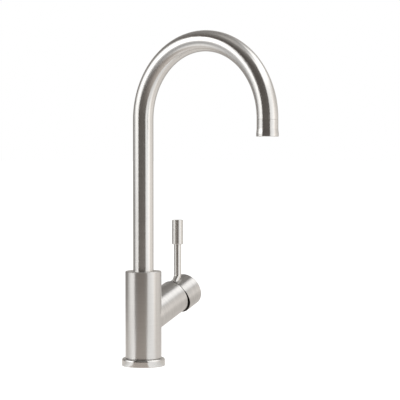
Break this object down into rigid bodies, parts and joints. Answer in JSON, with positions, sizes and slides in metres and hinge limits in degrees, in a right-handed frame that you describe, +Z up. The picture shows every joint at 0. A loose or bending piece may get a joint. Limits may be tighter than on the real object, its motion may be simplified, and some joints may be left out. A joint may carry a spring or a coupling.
{
  "type": "gooseneck bar faucet",
  "caption": "Deck-mounted bar faucet with a swivelling gooseneck spout and a single side lever that mixes and meters hot and cold water through a ceramic-disc cartridge.",
  "frame": {"origin": "centre of the foot ring's underside, on the deck and on the column's axis", "axes": "+Z up along the column and the spout's riser; the spout reaches towards -Y, where the user stands; the branch, cap and lever point towards +X, the user's right"},
  "size_m": [0.1079, 0.1979, 0.3576],
  "materials": {
    "brushed_stainless": "brushed nickel-toned stainless steel",
    "bright_steel": "bright turned stainless steel",
    "machined_brass": "machined brass",
    "black_rubber": "matt EPDM rubber",
    "white_plastic": "white acetal",
    "grey_plastic": "grey glass-filled plastic",
    "white_ceramic": "lapped white ceramic"
  },
  "bodies": {
    "body": {"foot_ring": "brushed_stainless", "foot_gasket": "black_rubber", "body_column": "brushed_stainless", "side_housing": "brushed_stainless", "spout_grub_screw": "bright_steel", "cartridge_shell": "grey_plastic", "cartridge_base": "grey_plastic", "port_seals": "black_rubber", "fixed_disc": "white_ceramic", "ring_nut": "machined_brass"},
    "spout": {"spout_tube": "brushed_stainless", "spout_spigot": "machined_brass", "spout_orings": "black_rubber", "spout_glide_rings": "white_plastic", "outlet_nipple": "machined_brass", "aerator_washer": "black_rubber", "aerator_insert": "white_plastic", "aerator_screen": "bright_steel", "aerator_housing": "brushed_stainless"},
    "mixer": {"spindle": "grey_plastic", "pivot_pin": "bright_steel"},
    "handle": {"stem": "machined_brass", "cap_hub": "machined_brass", "cap_grub_screw": "bright_steel", "handle_cap": "brushed_stainless", "lever_rod": "brushed_stainless", "lever_grip": "brushed_stainless"},
    "disc": {"moving_disc": "white_ceramic", "disc_carrier": "grey_plastic"}
  },
  "joints": [
    {"name": "spout_swivel", "type": "hinge", "parent": "body", "child": "spout", "pos_m": [0, 0, 0.088], "axis": [0, 0, 1], "continuous": true},
    {"name": "temperature_turn", "type": "hinge", "parent": "body", "child": "mixer", "pos_m": [0.04006, 0, 0.06512], "axis": [0.9317, 0, 0.3633], "range_deg": [-45, 45]},
    {"name": "flow_tilt", "type": "hinge", "parent": "mixer", "child": "handle", "pos_m": [0.04006, 0, 0.06512], "axis": [0, 1, 0], "range_deg": [0, 20]},
    {"name": "disc_slide", "type": "slide", "parent": "mixer", "child": "disc", "axis": [-0.3633, 0, 0.9317], "range_m": [0, 0.0042]}
  ],
  "couplings": [
    {"joint": "disc_slide", "follows": "flow_tilt", "m_per_rad": 0.012}
  ]
}
